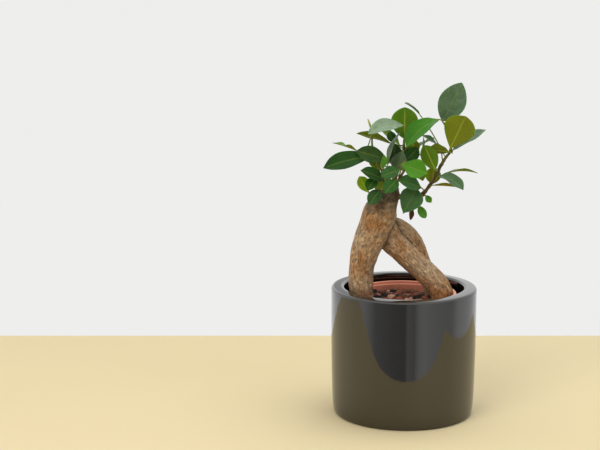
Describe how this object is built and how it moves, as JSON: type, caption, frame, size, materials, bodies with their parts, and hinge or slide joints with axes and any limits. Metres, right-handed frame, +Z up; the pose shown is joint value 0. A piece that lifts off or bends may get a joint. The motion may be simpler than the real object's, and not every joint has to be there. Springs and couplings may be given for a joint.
{
  "type": "potted bonsai tree",
  "caption": "Ginseng fig bonsai with swollen root legs and glossy leaves, in a terracotta-coloured nursery pot inside a black glazed cover pot.",
  "frame": {"origin": "centre of the cover pot's flat underside", "axes": "+Z up through the pot, -Y towards the front of the tree, +X to its right"},
  "size_m": [0.1643, 0.15, 0.3427],
  "materials": {
    "black_glaze": "gloss",
    "terracotta_plastic": "satin",
    "potting_mix": "rough",
    "bark": "rough",
    "shoot_bark": "satin",
    "leaf": "gloss",
    "leaf_young": "gloss",
    "leaf_dry": "matte",
    "bud_skin": "satin"
  },
  "bodies": {
    "root": {"bud_centre": "bud_skin", "bud_front": "bud_skin", "bud_left": "bud_skin", "cover_pot": "black_glaze", "leaf_back_01": "leaf", "leaf_back_02": "leaf", "leaf_back_03": "leaf", "leaf_back_04": "leaf", "leaf_back_05": "leaf", "leaf_back_06": "leaf", "leaf_centre_01": "leaf", "leaf_centre_02": "leaf", "leaf_centre_03": "leaf", "leaf_centre_04": "leaf", "leaf_centre_05": "leaf", "leaf_centre_06": "leaf", "leaf_centre_07": "leaf", "leaf_centre_08": "leaf", "leaf_centre_09": "leaf_young", "leaf_front_01": "leaf", "leaf_front_02": "leaf", "leaf_front_03": "leaf_young", "leaf_front_04": "leaf", "leaf_left_01": "leaf", "leaf_left_02": "leaf", "leaf_left_03": "leaf", "leaf_left_04": "leaf", "leaf_left_05": "leaf", "leaf_left_06": "leaf_young", "leaf_left_07": "leaf", "leaf_left_08": "leaf_young", "leaf_left_09": "leaf", "leaf_low_01": "leaf_young", "leaf_low_02": "leaf_dry", "leaf_right_01": "leaf", "leaf_right_02": "leaf", "leaf_right_03": "leaf", "leaf_right_04": "leaf", "leaf_right_05": "leaf", "leaf_right_06": "leaf", "leaf_right_07": "leaf", "leaf_right_08": "leaf", "leaf_right_09": "leaf", "leaf_right_10": "leaf", "leaf_right_11": "leaf", "leaf_right_12": "leaf", "leaf_right_13": "leaf", "leaf_right_14": "leaf", "leaf_right_15": "leaf_young", "leaf_right_16": "leaf", "nursery_pot": "terracotta_plastic", "potting_mix": "potting_mix", "shoot_back": "shoot_bark", "shoot_centre": "shoot_bark", "shoot_front": "shoot_bark", "shoot_left": "shoot_bark", "shoot_low": "shoot_bark", "shoot_right": "shoot_bark", "trunk": "bark"}
  },
  "joints": []
}
